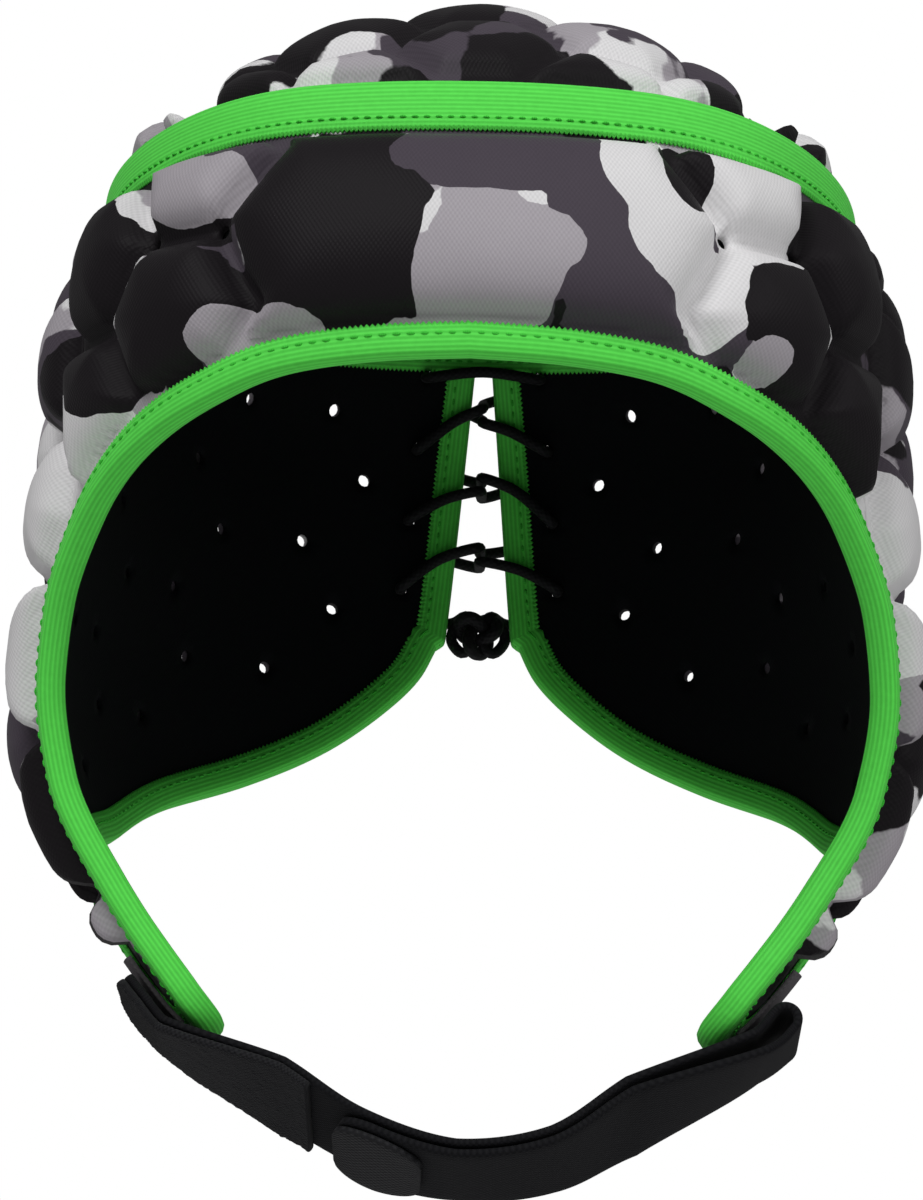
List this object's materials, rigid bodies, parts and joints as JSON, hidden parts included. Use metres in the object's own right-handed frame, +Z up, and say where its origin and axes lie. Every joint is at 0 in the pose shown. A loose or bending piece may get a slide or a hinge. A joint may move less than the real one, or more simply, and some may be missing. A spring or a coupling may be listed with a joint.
{
  "type": "rugby scrum cap",
  "caption": "Padded scrum cap with hexagonal vented pads, folded edge bindings, a laced back and a hook-and-loop chin strap.",
  "frame": {"origin": "highest point of the head hollow, on the underside of the crown, where the cap sits on the head", "axes": "+Z up, the face opening looks along -Y, +X is the wearer's left"},
  "size_m": [0.1946, 0.2153, 0.2554],
  "materials": {
    "camo_cloth": "matte knitted cloth printed in grey, white and black camouflage",
    "lining": "matte black knit",
    "binding": "bright green ribbed tape",
    "lace": "black round braid",
    "grey_tape": "grey woven tape",
    "strap": "black woven strap",
    "strap_pile": "black fuzzy loop pile",
    "strap_grip": "dark grey hook tape"
  },
  "bodies": {
    "root": {"front_panel": "camo_cloth", "front_lining": "lining", "side_panel_left": "camo_cloth", "side_panel_right": "camo_cloth", "side_lining_left": "lining", "side_lining_right": "lining", "crown_panel": "camo_cloth", "crown_side_left": "camo_cloth", "crown_side_right": "camo_cloth", "face_binding": "binding", "top_binding": "binding", "nape_binding_left": "binding", "nape_binding_right": "binding", "back_lace": "lace", "lace_knot": "lace", "tab_tape_left": "grey_tape", "tab_tape_right": "grey_tape", "chin_strap": "strap", "strap_patch": "strap_pile", "strap_grip": "strap_grip"}
  },
  "joints": []
}
